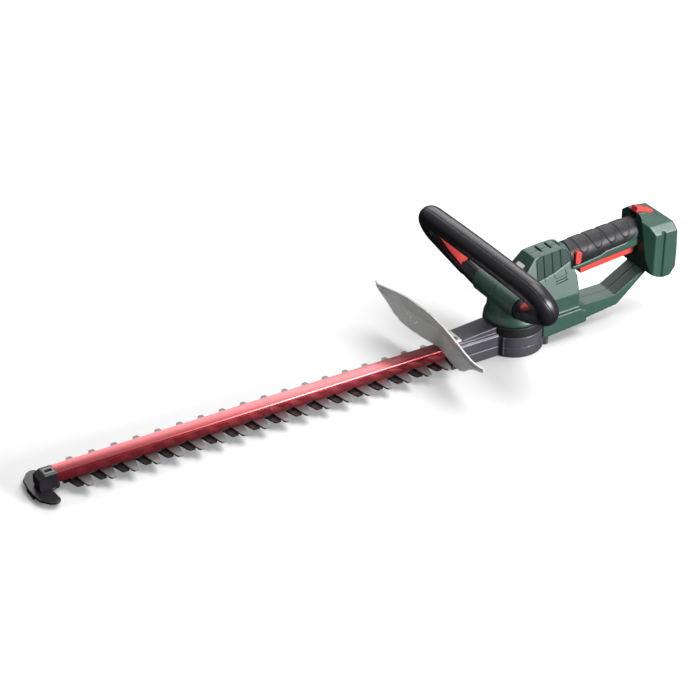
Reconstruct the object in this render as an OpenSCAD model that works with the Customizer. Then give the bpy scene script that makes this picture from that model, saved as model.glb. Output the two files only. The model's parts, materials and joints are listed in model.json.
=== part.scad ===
// Cordless hedge trimmer with twin reciprocating blades.
// X runs forward to the blade tip, Y to the user's left, Z up.
// The origin is on the crank axis, at the underside of the gearbox.

/* [Blades] */
// Distance between neighbouring teeth
tooth_pitch = 30; // [28:0.5:30]
// Number of teeth on each side of a blade
tooth_count = 18; // [16:1:18]
// Thickness of each blade
blade_t = 2.5; // [2:0.1:2.5]
// Height of the plane where the two blades meet
blade_z = 12; // [12:0.1:12.2]
// Reach of an upper blade tooth from the centre line
upper_tooth_reach = 33.8; // [30:0.2:35]
// Reach of a lower blade tooth from the centre line
lower_tooth_reach = 25.5; // [22:0.5:28]
// Stroke of each blade
stroke = 15; // [13:1:15]
// How far the lower teeth stand ahead of the upper teeth at rest
tooth_stagger = 10; // [6:1:10]

/* [Blade bar] */
// Width of the red blade bar
bar_w = 20.6; // [20:0.1:22]
// Height of the top of the blade bar
bar_top_z = 28.4; // [27:0.2:29]
// Number of guide bolts through the bar
bolt_count = 5; // [4:1:5]

/* [Gearbox] */
// Outer radius of the round part of the gearbox
pot_r = 41; // [41:0.5:43]
// Height of the joint between the two gearbox halves
parting_z = 15; // [15:0.2:15.4]
// Height of the gearbox shoulder
pot_top_z = 30; // [30:0.5:31]
// Half the width of the gearbox nose
nose_w = 20; // [19:0.5:21]
// Front face of the gearbox nose
nose_x = 108; // [104:1:110]
// Teeth on the drive gear
gear_teeth = 50; // [50:1:50]
// Teeth on the motor pinion
pinion_teeth = 10; // [10:1:10]
// Gear module
gear_module = 1; // [1:0.1:1]

/* [Front handle] */
// Radius of the handle tube
bail_r = 14.5; // [14:0.5:15]
// Radius of the rounded ends of the handle, at the tube centre
bail_end_r = 20; // [18:0.5:22]
// Height of the top of the handle above its arms, at the tube centre
bail_top = 77.5; // [76:0.5:79]
// Slope of the arms of the handle
arm_rise = 30; // [29:0.5:32]
// How much thicker the handle is beyond its necks
bail_swell = 1.2; // [0:0.2:1.4]
// Bow of the top of the handle, from its middle to each end
bail_bow = 3; // [2:0.5:4]
// How far the handle leans forward
bail_lean = 27; // [25:0.5:28]

/* [Rear handle] */
// Half the width of the main housing
body_w = 29; // [28.5:0.5:30]
// Half the width of the rear grip
grip_w = 18; // [17:0.5:19]
// Half the width of the battery foot
foot_w = 37; // [36:0.5:38]

/* [Hidden] */

$fn = 64;
eps = 0.02;
fit_gap = 0.05;
moving_gap = 0.4;

// Blades and bar
first_tooth_x = 122;
upper_shift = -tooth_stagger / 2;
lower_shift = tooth_stagger / 2;
neutral_tooth_x = first_tooth_x - upper_shift;
last_tooth_x = neutral_tooth_x + (tooth_count - 1) * tooth_pitch;
blade_gap = 0.2;
upper_blade_z = blade_z + blade_gap / 2;
lower_blade_z = blade_z - blade_gap / 2 - blade_t;
spine_w = 9;
bar_z = 15;
bar_hollow_w = 15.6;
bar_x1 = last_tooth_x + 27;
bolt_r = 2.5;
bush_r = 4;
bolt_x0 = 160;
bolt_pitch = (last_tooth_x - bolt_x0) / (bolt_count - 1);
tip_plate_z = 5.4;
tip_top_z = 8.4;
tip_screw_x = bar_x1 + 12;

// Drive
crank_throw = stroke / 2;
eccentric_r = 10;
crank_r = 5;
gear_z = 17;
gear_t = 8;
pad_z = 36;
lug_spot = [-36, 24];
lug_r = 5;
gear_r = gear_teeth * gear_module / 2;
pinion_r = pinion_teeth * gear_module / 2;
motor_x = -(gear_r + pinion_r);
window_r = crank_throw + eccentric_r + moving_gap;
yoke_r = window_r + 3;
spine_x = stroke / 2 + window_r + 1;
motor_r = 18;
motor_z0 = 51;
motor_z1 = 94;
shaft_r = 2.5;
rotor_r = 12;
shaft_top_z = 109;
fan_z = 99.5;
cavity_r = pot_r - 3.5;
seal_r = pot_r - 6;

// Front handle, laid out in its own leaning plane
bail_x = 20;
bail_z = 81;
shoulder_r = 16.5;
bail_wall = 3;
arm_end_y = 40;
arm_bend_y = 46;
arm_bend_r = 24;
arm_y0 = arm_bend_y + arm_bend_r * sin(arm_rise);
arm_v0 = arm_bend_r * (1 - cos(arm_rise));
bail_end_v = bail_top - bail_end_r;
bail_end_y = arm_y0 + ((bail_end_v - arm_v0) * cos(arm_rise) - bail_end_r) / sin(arm_rise);
arm_length = (bail_end_y + bail_end_r * sin(arm_rise) - arm_y0) / cos(arm_rise);
bow_r = bail_end_r + bail_end_y / sin(bail_bow);
bow_top = bail_end_v + bow_r - (bow_r - bail_end_r) * cos(bail_bow);
slot_start = 12;
slot_w = 12.6;
switch_w = 12;
switch_in = 8;
switch_out = 17;
switch_start = 17;

// Main housing and rear handle
dome_z = 44.2;
hump_w = body_w - 1;
belly_w = body_w + 4;
face_z = 64;
face_lean = 11.3;
fan_r = 14;
grip_z = 112;
grip_slope = 4;
grip_x = -76;
trigger_pivot = [-106, 96];
strut_w = 18;
lock_x = -87.5;
lock_z = 113;
lock_r = 4.6;
release_slope = 22;
foot_groove_w = 5.5;
foot_groove_depth = 2.2;
air_slots = 3;
air_slot_w = 2.4;
air_slot_pitch = 15;
vent_groove_w = 1.2;
vent_groove_pitch = 13.5;
rib_angle = 38;

// ---------- helpers ----------

// A flat outline in X and Z, given a thickness centred on the XZ plane
module slab(half_w) {
    rotate([90, 0, 0])
        linear_extrude(height = 2 * half_w, center = true)
            children();
}

// Keep only the left half (side = 1) or the right half (side = -1)
module half(side) {
    intersection() {
        children();
        translate([-400, side > 0 ? 0 : -200, -50])
            cube([500, 200, 300]);
    }
}

// A cylinder along Y between two places
module rod_y(x, z, y0, y1, r) {
    translate([x, y0, z])
        rotate([-90, 0, 0])
            cylinder(h = y1 - y0, r = r);
}

// A screw with a pan head and a hex socket, its head on top
module screw(length, r, head_r, head_h) {
    difference() {
        union() {
            translate([0, 0, -length])
                cylinder(h = length + eps, r = r);
            cylinder(h = head_h, r = head_r);
        }
        translate([0, 0, head_h - head_h / 2])
            cylinder(h = head_h, r = head_r / 2, $fn = 6);
    }
}

// Compression spring drawn as a stack of turns on a sleeve
module spring(length, r, turns, wire) {
    step = (length - wire) / turns;
    difference() {
        union() {
            cylinder(h = length, r = r - wire / 2);
            for (i = [0:turns])
                translate([0, 0, i * step])
                    cylinder(h = wire, r = r);
        }
        translate([0, 0, -1])
            cylinder(h = length + 2, r = r - wire);
    }
}

// Flat involute-like gear with straight flanks
module gear(teeth, thickness, hole_r, tip, root) {
    pitch_r = teeth * gear_module / 2;
    half_tooth = 90 / teeth * 0.93;
    top_angle = half_tooth * 0.45;
    root_angle = half_tooth * 1.45;
    difference() {
        linear_extrude(height = thickness)
            polygon([for (i = [0:teeth - 1])
                for (corner = [[-root_angle, pitch_r - root], [-top_angle, pitch_r + tip],
                               [top_angle, pitch_r + tip], [root_angle, pitch_r - root]])
                    let (a = i * 360 / teeth + corner[0])
                        [corner[1] * cos(a), corner[1] * sin(a)]]);
        translate([0, 0, -1])
            cylinder(h = thickness + 2, r = hole_r);
    }
}

// ---------- green housing ----------

// Side outline of the motor hump
module hump_outline() {
    polygon([[-22, 46], [2, 96], [1, 104], [-11, 118.5], [-20, 129], [-40, 131], [-62, 132.5],
             [-72, 130], [-80, 118], [-82, 98], [-86, 88], [-88, 44], [-98, 36],
             [-98, 19], [-40, 13], [-22, 13]]);
}

// Main hollow for the motor and the wiring
module hump_cavity() {
    polygon([[-28, 60], [-10, 70], [-6, 97], [-70, 97], [-80, 88], [-83, 46], [-92, 36],
             [-92, 23], [-50, 18], [-50, 60]]);
}

// Narrow hollow above the fan
module crown_cavity() {
    polygon([[-8, 96], [-8, 104], [-16, 115], [-23, 124], [-60, 127.5], [-69, 115], [-69, 96]]);
}

// Lower rib of the grip, below its round part
module grip_outline() {
    polygon([[-60, 94], [-97, 93], [-130, 97], [-184, 101], [-196, 105], [-214, 105],
             [-214, 128], [-184, 122], [-60, 114]]);
}

// Round bar along the axis of the grip
module grip_round(r, x0, x1) {
    translate([grip_x, 0, grip_z])
        rotate([0, grip_slope - 90, 0])
            translate([0, 0, grip_x - x0])
                cylinder(h = x0 - x1, r = r);
}

module strut_outline() {
    polygon([[-80, 16], [-105, 13], [-160, 20], [-203, 56], [-216, 70], [-216, 110], [-196, 108],
             [-199, 76], [-201, 62], [-155, 36], [-104, 36], [-96, 44], [-80, 44]]);
}

// Side outline of the foot that carries the battery
module foot_outline() {
    polygon([[-187, 148], [-200, 147], [-236, 133], [-240, 118], [-241, 66], [-232, 54],
             [-218, 53], [-200, 62], [-194, 84]]);
}

// The foot seen from behind: its top corners slope down
module foot_section() {
    translate([-250, 0, 0])
        rotate([90, 0, 90])
            linear_extrude(height = 80)
                polygon([[-foot_w, 50], [foot_w, 50], [foot_w, 122], [30, 134], [12, 149],
                         [-12, 149], [-30, 134], [-foot_w, 122]]);
}

// The foot seen from above: its front corners are cut back
module foot_plan() {
    translate([0, 0, 40])
        linear_extrude(height = 120)
            polygon([[-186, -20], [-186, 20], [-203, foot_w], [-250, foot_w],
                     [-250, -foot_w], [-203, -foot_w]]);
}

module dome() {
    rotate_extrude()
        polygon([[0, dome_z], [40, dome_z], [40, 48], [36.5, 56], [35.5, 68], [33, 80], [26, 90],
                 [0, 96]]);
}

module housing_solid() {
    difference() {
        union() {
            slab(hump_w) hump_outline();
            slab(belly_w) belly_outline();
            slab(grip_w - 2) grip_outline();
            grip_round(grip_w - 1, -70, -200);
            slab(strut_w) strut_outline();
            intersection() {
                slab(foot_w) foot_outline();
                foot_section();
                foot_plan();
            }
            dome();
            rod_y(bail_x, bail_z, -46, 46, shoulder_r);
        }
        // room for the gearbox below the dome
        cylinder(h = dome_z, r = pot_r + 1);
        for (side = [-1, 1])
            translate([lug_spot[0], side * lug_spot[1], 0])
                cylinder(h = 34, r = lug_r + 0.6);
        // the sides of the hump lean in towards its top
        for (side = [0, 1])
            side_face(side)
                translate([-100, 0, 0])
                    cube([110, 30, 90]);
    }
}

module belly_outline() {
    polygon([[-24, 13], [-24, 40], [-88, 42], [-98, 36], [-98, 19]]);
}

// Frame on the leaning side of the hump: Y points out of the face, Z up along it
module side_face(side) {
    mirror([0, side, 0])
        translate([0, hump_w, face_z])
            rotate([face_lean, 0, 0])
                children();
}

// Everything that is hollow or cut away inside the housing
module housing_hollow() {
    slab(18) hump_cavity();
    slab(11.5) crown_cavity();
    translate([motor_x, 0, 44])
        cylinder(h = motor_z1 + 6 - 44, r = motor_r + 0.7);
    translate([motor_x, 0, 96])
        cylinder(h = 17, r = fan_r + 1.5);
    translate([0, 0, 40])
        cylinder(h = 30, r = 33);
    // sockets for the arms of the front handle, and the way through for the wires
    for (side = [0, 1])
        mirror([0, side, 0])
            rod_y(bail_x, bail_z, arm_end_y, 47, bail_r + fit_gap);
    rod_y(bail_x, bail_z, -arm_end_y - 1, arm_end_y + 1, 9);
    // grip hollow for the trigger and its switch
    slab(11)
        polygon([[-76, 98], [-100, 96], [-130, 100], [-197, 105], [-206, 110], [-198, 128], [-130, 124],
                 [-76, 121]]);
    rod_y(trigger_pivot[0], trigger_pivot[1], -14.5, 14.5, 2 + fit_gap);
    // slot that the trigger comes out of
    slab(8.4)
        polygon([[-99.5, 84], [-99.5, 100], [-194, 107], [-194, 90]]);
    soft_grip_space();
    for (side = [0, 1])
        side_face(side)
            translate([0, -2, 0])
                rotate([90, 0, 0])
                    translate([0, 0, -4])
                        linear_extrude(height = 4)
                            vent_outline();
    badge_place()
        cube([3, 16, 10], center = true);
    lock_hole();
    // battery bay, open to the rear and below
    translate([-250, -28, 40])
        cube([36, 56, 81]);
    translate([-216, -15, 76])
        cube([14, 30, 42]);
    release_pocket();
    screw_holes();
    // upright groove in each side of the foot
    for (side = [0, 1])
        mirror([0, side, 0])
            translate([-219, foot_w - foot_groove_depth, 50])
                cube([foot_groove_w, 5, 76]);
    // air slots across the crown
    for (i = [0:air_slots - 1])
        translate([-38.2 - i * air_slot_pitch, -11, 120])
            cube([air_slot_w, 17, 20]);
}

module housing(side) {
    half(side)
        difference() {
            housing_solid();
            housing_hollow();
        }
}

housing_screw_spots = [[-94, 28], [-150, 28], [-208, 70], [-212, 125.3], [-46, 32]];
screw_seat_y = -12;

module screw_holes() {
    for (spot = housing_screw_spots) {
        rod_y(spot[0], spot[1], -30, 12, 1.7);
        rod_y(spot[0], spot[1], -60, screw_seat_y, 3.6);
    }
}

// Frame on the sloping top of the foot, Z out of the surface
module release_place() {
    translate([-205, 0, 146])
        rotate([0, -release_slope, 0])
            children();
}

module release_pocket() {
    release_place()
        translate([-15, -6.8, -14])
            cube([30, 13.6, 30]);
}

// Long round-ended prism along Y
module lock_prism(y0, y1, r) {
    for (rise = [-5, 5])
        rod_y(lock_x, lock_z + rise, y0, y1, r);
    translate([lock_x - r, y0, lock_z - 5])
        cube([2 * r, y1 - y0, 10]);
}

module lock_hole() {
    lock_prism(-11, 40, lock_r + moving_gap);
}

// ---------- named parts of the housing ----------

module housing_left() { color("#3f6a58") housing(1); }
module housing_right() { color("#3f6a58") housing(-1); }

// Side outline of the rubber cover of the grip
module soft_grip_outline() {
    polygon([[-77, 99], [-97, 100], [-127, 104], [-136, 108], [-168, 111], [-183, 119],
             [-189, 130], [-190, 150], [-77, 150]]);
}

// Space taken by the rubber cover of the grip
module soft_grip_space() {
    difference() {
        slab(grip_w + 3) soft_grip_outline();
        grip_round(grip_w - 2.5, -60, -210);
    }
}

module soft_grip() {
    color("#2b292e")
        difference() {
            intersection() {
                grip_round(grip_w, grip_x, -200);
                slab(grip_w + 3) soft_grip_outline();
            }
            grip_round(grip_w - 2.5, -60, -210);
            lock_hole();
        }
}

module vent_outline() {
    polygon([[-22.5, 33], [-22.5, 61], [-28, 65.6], [-62, 68.3], [-70.5, 65.5], [-76.5, 55],
             [-76.5, 49], [-50, 39], [-34, 35]]);
}

// Dark ribbed air panel in the side of the hump
module vent_panel(side) {
    color("#1d4a3a")
        side_face(side)
            difference() {
                rotate([90, 0, 0])
                    linear_extrude(height = 1.9)
                        vent_outline();
                for (i = [0:air_slots - 1])
                    translate([-33.5 - i * vent_groove_pitch, -0.3, 50 + 2 * i])
                        cube([vent_groove_w, vent_groove_w, 40], center = true);
            }
}

module vent_panel_left() { vent_panel(0); }
module vent_panel_right() { vent_panel(1); }

module badge_place() {
    translate([-7, 0, 113.7])
        rotate([0, -50.4, 0])
            children();
}

module badge_plate() {
    color("#d8d8d8")
        badge_place()
            translate([0.1, 0, 0])
                cube([2.4, 15.8, 9.8], center = true);
}

module housing_screws() {
    color("#55585c")
        for (spot = housing_screw_spots)
            translate([spot[0], screw_seat_y, spot[1]])
                rotate([90, 0, 0])
                    screw(18, 1.6, 3.2, 2.4);
}

// ---------- gearbox ----------

module gearbox_outline() {
    circle(r = pot_r);
    translate([0, -nose_w])
        square([nose_x, 2 * nose_w]);
    for (side = [-1, 1])
        translate([lug_spot[0], side * lug_spot[1]])
            circle(r = lug_r);
}

// Die-cast upper half of the gearbox
module gearbox_housing() {
    color("#46444b")
        difference() {
            union() {
                translate([0, 0, parting_z])
                    linear_extrude(height = pot_top_z - parting_z)
                        gearbox_outline();
                translate([0, 0, pot_top_z - 1])
                    cylinder(h = 8, r = seal_r);
                slab(nose_w - 4)
                    polygon([[20, pot_top_z - 2], [nose_x - 0.4, pot_top_z - 2], [nose_x - 0.4, pad_z],
                             [nose_x - 18, pad_z], [nose_x - 19, 38], [40, 42], [20, 42]]);
                slab(nose_w - 0.6)
                    polygon([[20, pot_top_z - 3], [nose_x - 0.2, pot_top_z - 3],
                             [nose_x - 0.2, pot_top_z + 3], [20, pot_top_z + 3]]);
                for (side = [-1, 1])
                    rotate([0, 0, side * rib_angle])
                        translate([pot_r - 3, -1.2, parting_z + 0.4])
                            cube([4.2, 2.4, pot_top_z - parting_z - 1]);
            }
            // chamber for the crank and the gear
            translate([0, 0, parting_z - 1])
                cylinder(h = 13, r = cavity_r);
            translate([0, 0, parting_z - 1])
                cylinder(h = 17, r = 11);
            translate([motor_x, 0, parting_z - 1])
                cylinder(h = 60, r = pinion_r + 2);
            // channel for the blades
            translate([0, -spine_w - 2, parting_z - 1])
                cube([nose_x + 1, 2 * spine_w + 4, 2]);
            // slot that takes the end of the bar
            translate([nose_x - 30, -bar_w / 2 - fit_gap, parting_z - 1])
                cube([31, bar_w + 2 * fit_gap, bar_top_z - parting_z + 1 + fit_gap]);
            gearbox_screw_holes(1.55);
            guard_screw_holes(1.55);
        }
}

// Lower half of the gearbox, the face that the tool rests on
module gearbox_cover() {
    color("#38363c")
        difference() {
            union() {
                linear_extrude(height = parting_z)
                    gearbox_outline();
                for (side = [-1, 1])
                    rotate([0, 0, side * rib_angle])
                        translate([pot_r - 3, -1.2, 3])
                            cube([4.2, 2.4, parting_z - 3.4]);
            }
            translate([0, 0, 9])
                cylinder(h = 20, r = cavity_r);
            translate([0, 0, 3])
                cylinder(h = 20, r = 11);
            translate([0, -spine_w - 2, 9])
                cube([nose_x + 1, 2 * spine_w + 4, 20]);
            translate([nose_x - 18, -13, 9])
                cube([20, 26, 20]);
            gearbox_screw_holes(1.9);
            // counterbores for the screw heads
            for (spot = gearbox_screw_spots)
                translate([spot[0], spot[1], -1])
                    cylinder(h = 4, r = 3.4);
        }
}

gearbox_screw_spots = [lug_spot, [lug_spot[0], -lug_spot[1]], [50, 15.5], [50, -15.5],
    [nose_x - 12, 15.5], [nose_x - 12, -15.5]];

module gearbox_screw_holes(r) {
    for (spot = gearbox_screw_spots)
        translate([spot[0], spot[1], -1])
            cylinder(h = 27, r = r);
}

module gearbox_screws() {
    color("#9a9ca0")
        for (spot = gearbox_screw_spots)
            translate([spot[0], spot[1], 3])
                rotate([180, 0, 0])
                    screw(20, 1.5, 3.1, 2);
}

// Rubber ring between the gearbox and the motor housing
module gearbox_seal() {
    color("#1c1c1e")
        difference() {
            translate([0, 0, pot_top_z + 0.1])
                cylinder(h = 13.9, r = pot_r - 0.2);
            cylinder(h = 60, r = seal_r + 0.1);
            translate([19.8, -nose_w + 3.8, 0])
                cube([60, 2 * nose_w - 7.6, 42.2]);
            translate([19.8, -nose_w + 0.4, 0])
                cube([60, 2 * nose_w - 0.8, pot_top_z + 3.2]);
        }
}

// ---------- hand guard ----------

guard_t = 2.6;

// Stations out from the centre line: distance, panel X, lower Z, bend Z, rim X, rim Z
guard_rows = [[0, 115, 28.8, 56.3, 134.4, 88], [11, 117.1, 28.8, 56.4, 135.5, 88.5],
    [28, 120.3, 29, 56.7, 137.2, 89], [43, 123.2, 30, 57, 138, 88.6], [58, 126, 32, 57.8, 138.6, 86.3],
    [71, 128.5, 34.5, 59, 139.2, 84], [85, 131.2, 41.5, 60.3, 140, 81.4],
    [98, 133.6, 52.3, 61.7, 141.4, 79.7], [112, 135.6, 60.5, 63.5, 140.2, 75],
    [122, 134.6, 62.5, 65.5, 137, 71.5], [129.5, 132.6, 63.5, 66.4, 134, 70.2]];

// The six corners of the shield's section at one station
function guard_ring(row, side) = [[row[1], side * row[0], row[2]], [row[1], side * row[0], row[3]],
    [row[4], side * row[0], row[5]], [row[4] + guard_t, side * row[0], row[5]],
    [row[1] + guard_t, side * row[0], row[3]], [row[1] + guard_t, side * row[0], row[2]]];

// One side of the swept shield: an upright panel with a flange that leans forward above it
module guard_side() {
    last = len(guard_rows) - 1;
    polyhedron(
        points = [for (row = guard_rows) each guard_ring(row, 1)],
        faces = concat(
            [[0, 1, 4], [0, 4, 5], [1, 2, 3], [1, 3, 4]],
            [for (f = [[0, 4, 1], [0, 5, 4], [1, 3, 2], [1, 4, 3]]) [for (k = f) k + 6 * last]],
            [for (i = [0:last - 1]) for (k = [0:5])
                let (a = 6 * i + k, b = 6 * i + (k + 1) % 6) [a, a + 6, b]],
            [for (i = [0:last - 1]) for (k = [0:5])
                let (a = 6 * i + k, b = 6 * i + (k + 1) % 6) [b, a + 6, b + 6]]));
}

module hand_guard() {
    color([0.55, 0.56, 0.55, 0.6])
        difference() {
            union() {
                guard_side();
                mirror([0, 1, 0]) guard_side();
                // foot screwed to the nose
                translate([nose_x - 17, -14, pad_z + 0.1])
                    cube([24.8, 28, 3]);
                translate([nose_x + 0.2, -15, 24])
                    cube([7.6, 30, 15]);
            }
            // the bar passes through
            translate([nose_x - 1, -bar_w / 2 - 0.3, 0])
                cube([40, bar_w + 0.6, bar_top_z + 0.3]);
            guard_screw_holes(1.9);
        }
}

guard_screw_spots = [[nose_x - 10, -9], [nose_x - 10, 9]];

module guard_screw_holes(r) {
    for (spot = guard_screw_spots)
        translate([spot[0], spot[1], 31])
            cylinder(h = 20, r = r);
}

module guard_screws() {
    color("#9a9ca0")
        for (spot = guard_screw_spots)
            translate([spot[0], spot[1], pad_z + 3.1])
                screw(8, 1.5, 3.4, 2.2);
}

// ---------- front handle ----------

// Put children in the leaning plane: X across, Y up the plane, Z along its normal
module bail_frame() {
    translate([bail_x, 0, bail_z])
        rotate([0, bail_lean, 0])
            rotate([90, 0, 90])
                children();
}

// Each station on the loop: distance across, rise, direction outward, whether the slot is open.
// The right half runs from the socket round the first bend, up the arm and round the end.
bail_stations_right = concat(
    [[arm_end_y + 0.1, 0, -90, 0]],
    [for (i = [0:4]) let (a = -90 + arm_rise * i / 4)
        [arm_bend_y + arm_bend_r * cos(a), arm_bend_r + arm_bend_r * sin(a), a, 0]],
    [arm_station(slot_start, 0), arm_station(slot_start + 3, 1), arm_station(switch_start, 1)],
    [for (i = [0:14]) let (a = arm_rise - 90 + (180 - arm_rise - bail_bow) * i / 14)
        [bail_end_y + bail_end_r * cos(a), bail_end_v + bail_end_r * sin(a), a, 1]],
    [for (i = [1:5]) let (a = 90 - bail_bow + bail_bow * i / 5)
        [bow_r * cos(a), bow_top - bow_r + bow_r * sin(a), a, 1]]);
bail_stations = concat(bail_stations_right,
    [for (i = [len(bail_stations_right) - 2:-1:0]) let (q = bail_stations_right[i])
        [-q[0], q[1], 180 - q[2], q[3]]]);
bar_first = 8;
bar_stations = [for (i = [bar_first:len(bail_stations) - 1 - bar_first]) bail_stations[i]];

function arm_station(s, open) = [arm_y0 + s * cos(arm_rise), arm_v0 + s * sin(arm_rise), arm_rise - 90, open];

// Corners of half the tube's wall at one station: along the outside, then back along the inside
wall_steps = 12;
function wall_ring(open) =
    let (outer_r = bail_r + open * bail_swell,
         outer = (180 - open * asin(slot_w / 2 / outer_r)) / wall_steps,
         inner_r = bail_r - bail_wall,
         inner = (180 - open * asin(slot_w / 2 / inner_r)) / wall_steps)
    concat([for (k = [0:wall_steps]) outer_r * [cos(k * outer), sin(k * outer)]],
           [for (k = [wall_steps:-1:0]) inner_r * [cos(k * inner), sin(k * inner)]]);

// Corners of the switch bar's section
function bar_ring() = [[-switch_in, -switch_w / 2], [-switch_in, switch_w / 2],
    [-switch_out, switch_w / 2], [-switch_out, -switch_w / 2]];

function ring_at(q, ring) = [for (c = ring) [q[0] + c[0] * cos(q[2]), q[1] + c[0] * sin(q[2]), c[1]]];

// Solid drawn through rings of corners, closed by a strip at each end
module sweep(rings) {
    m = len(rings[0]);
    n = m / 2 - 1;
    top = m * (len(rings) - 1);
    polyhedron(
        points = [for (r = rings) each r],
        faces = concat(
            [for (k = [0:n - 1]) [k, m - 1 - k, k + 1]],
            [for (k = [0:n - 1]) [k + 1, m - 1 - k, m - 2 - k]],
            [for (k = [0:n - 1]) [top + k, top + k + 1, top + m - 1 - k]],
            [for (k = [0:n - 1]) [top + k + 1, top + m - 2 - k, top + m - 1 - k]],
            [for (i = [0:len(rings) - 2]) for (k = [0:m - 1])
                let (a = m * i + k, b = m * i + (k + 1) % m) [a, b, a + m]],
            [for (i = [0:len(rings) - 2]) for (k = [0:m - 1])
                let (a = m * i + k, b = m * i + (k + 1) % m) [b, b + m, a + m]]));
}

module bail_half(front) {
    difference() {
        mirror([0, 0, front ? 0 : 1])
            sweep([for (q = bail_stations) ring_at(q, wall_ring(q[3]))]);
        bail_screw_holes();
    }
}

module front_handle_front() { color("#2a282c") bail_frame() bail_half(true); }
module front_handle_rear() { color("#2a282c") bail_frame() bail_half(false); }

bail_screw_spots = [[-61, 5], [61, 5], [-50, bail_top], [50, bail_top]];
bail_screw_seat = bail_r - 1.4;

module bail_screw_holes() {
    for (spot = bail_screw_spots)
        translate([spot[0], spot[1], 0]) {
            translate([0, 0, -30])
                cylinder(h = 43, r = 1.6);
            translate([0, 0, -30])
                cylinder(h = 30 - bail_screw_seat, r = 3.2);
        }
}

module front_handle_screws() {
    color("#55585c")
        bail_frame()
            for (spot = bail_screw_spots)
                translate([spot[0], spot[1], -bail_screw_seat])
                    rotate([180, 0, 0])
                        screw(25.8, 1.5, 2.9, 1.3);
}

// Red bar that the fingers of the front hand squeeze
module front_switch_bar() {
    color("#d8342c")
        bail_frame()
            sweep([for (q = bar_stations) ring_at(q, bar_ring())]);
}

module switch_bar_springs() {
    color("#b8babd")
        bail_frame()
            for (x = [-70, 70])
                translate([x, bow_top - switch_in - 0.9, 0])
                    rotate([-90, 0, 0])
                        spring(18.6, 3, 6, 0.8);
}

module front_switch() {
    color("#303236")
        bail_frame()
            translate([-14, bail_top + 2, -5])
                cube([28, 9, 10]);
}

// ---------- rear trigger and buttons ----------

module trigger_outline() {
    polygon([[-100.5, 88], [-100.5, 97.5], [-103, 99.3], [-110, 99.3], [-188, 99.7], [-192, 95],
             [-188, 88], [-102, 80]]);
}

module rear_trigger() {
    color("#e0564e")
        difference() {
            slab(8)
                trigger_outline();
            rod_y(trigger_pivot[0], trigger_pivot[1], -10, 10, 2 + fit_gap);
        }
}

module trigger_pin() {
    color("#b8babd")
        rod_y(trigger_pivot[0], trigger_pivot[1], -14.4, 14.4, 2);
}

module trigger_spring() {
    color("#b8babd")
        translate([-176, 0, 99.8])
            spring(26.6, 3.5, 8, 0.8);
}

module trigger_switch() {
    color("#303236")
        translate([-160, -8, 108])
            cube([34, 16, 15]);
}

module lock_button() {
    color("#d8342c")
        lock_prism(6, grip_w + 3, lock_r);
}

module lock_spring() {
    color("#b8babd")
        translate([lock_x, -10.9, lock_z])
            rotate([-90, 0, 0])
                spring(16.8, 3.5, 5, 0.8);
}

module release_button() {
    color("#d8342c")
        release_place()
            translate([-14.2, -6, -5])
                cube([28.4, 12, 7.5]);
}

module release_spring() {
    color("#b8babd")
        release_place()
            translate([0, 0, -13.9])
                spring(8.8, 3, 3, 0.8);
}

module battery_rails() {
    color("#26282b")
        for (side = [-1, 1])
            translate([-239, side > 0 ? 22.1 : -27.9, 62])
                cube([24.9, 5.8, 58]);
}

module terminal_block() {
    color("#26282b")
        translate([-222, -14, 77])
            cube([19.5, 28, 40.5]);
}

module battery_contacts() {
    color("#c9a24a")
        for (y = [-10, -4, 4, 10])
            translate([-234, y - 0.4, 86])
                cube([12, 0.8, 16]);
}

module control_board() {
    color("#1f5c3a")
        translate([-80, -17, 48])
            cube([1.6, 34, 36]);
}

// ---------- motor ----------

module motor_can() {
    color("#8f9296")
        translate([motor_x, 0, motor_z0])
            difference() {
                cylinder(h = motor_z1 - motor_z0, r = motor_r);
                translate([0, 0, 2])
                    cylinder(h = 100, r = motor_r - 1.6);
                translate([0, 0, -1])
                    cylinder(h = 10, r = 7);
            }
}

module motor_magnets() {
    color("#4a4c50")
        translate([motor_x, 0, motor_z0 + 4])
            difference() {
                cylinder(h = 34, r = motor_r - 1.7);
                translate([0, 0, -1])
                    cylinder(h = 60, r = rotor_r + 0.6);
                translate([0, 0, 20])
                    cube([60, 12, 60], center = true);
            }
}

module motor_end_cap() {
    color("#303236")
        translate([motor_x, 0, motor_z1])
            difference() {
                cylinder(h = 4, r = motor_r);
                translate([0, 0, -1])
                    cylinder(h = 10, r = 7);
            }
}

module motor_plate() {
    color("#8f9296")
        translate([motor_x, 0, motor_z0 - 5])
            difference() {
                cylinder(h = 4.9, r = motor_r);
                translate([0, 0, -1])
                    cylinder(h = 10, r = 7);
            }
}

module motor_bearings() {
    color("#b8babd")
        for (z = [motor_z0 - 4, motor_z1])
            translate([motor_x, 0, z])
                difference() {
                    cylinder(h = 4, r = 7 - fit_gap);
                    translate([0, 0, -1])
                        cylinder(h = 10, r = shaft_r + fit_gap);
                }
}

module motor_rotor() {
    color("#6e5a4a")
        translate([motor_x, 0, motor_z0 + 6])
            difference() {
                cylinder(h = 30, r = rotor_r);
                translate([0, 0, -1])
                    cylinder(h = 60, r = shaft_r);
                for (i = [0:11])
                    rotate([0, 0, i * 30])
                        translate([rotor_r - 2.4, -1, -1])
                            cube([4, 2, 60]);
            }
}

module motor_shaft() {
    color("#d0d2d5")
        translate([motor_x, 0, gear_z])
            cylinder(h = shaft_top_z - gear_z, r = shaft_r);
}

module motor_fan() {
    color("#303236")
        translate([motor_x, 0, fan_z])
            difference() {
                union() {
                    cylinder(h = 1.6, r = fan_r);
                    cylinder(h = 8, r = 5);
                    for (i = [0:8])
                        rotate([0, 0, i * 40])
                            translate([4, -0.6, 0])
                                cube([fan_r - 4.6, 1.2, 8]);
                }
                translate([0, 0, -1])
                    cylinder(h = 20, r = shaft_r);
            }
}

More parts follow.
